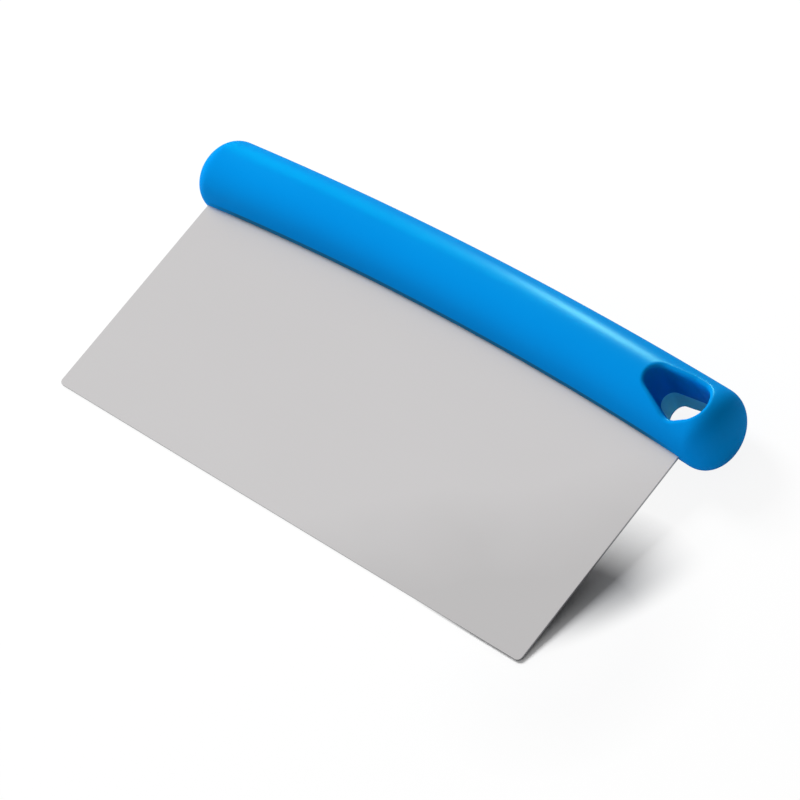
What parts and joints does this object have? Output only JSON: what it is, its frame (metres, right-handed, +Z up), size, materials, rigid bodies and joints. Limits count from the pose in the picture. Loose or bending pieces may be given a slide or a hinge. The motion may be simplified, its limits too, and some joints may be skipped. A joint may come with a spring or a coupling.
{
  "type": "dough scraper",
  "caption": "Flat rectangular steel scraper blade moulded into a round, gently arched plastic handle with a hanging hole near one end.",
  "frame": {"origin": "centre of the underside of the bounding box, on the table that the tool lies on", "axes": "+X along the handle towards the hanging hole, +Y from the scraping edge to the handle, +Z up. The tool lies as it is put down: on the blade's edge and on the two thick ends of the handle, so the blade slopes up by 8 degrees from the edge to the handle."},
  "size_m": [0.2404, 0.1114, 0.0271],
  "materials": {
    "blade_steel": "satin cold-rolled stainless steel",
    "handle_plastic": "satin blue moulded polypropylene"
  },
  "bodies": {
    "root": {"blade": "blade_steel", "handle": "handle_plastic"}
  },
  "joints": []
}
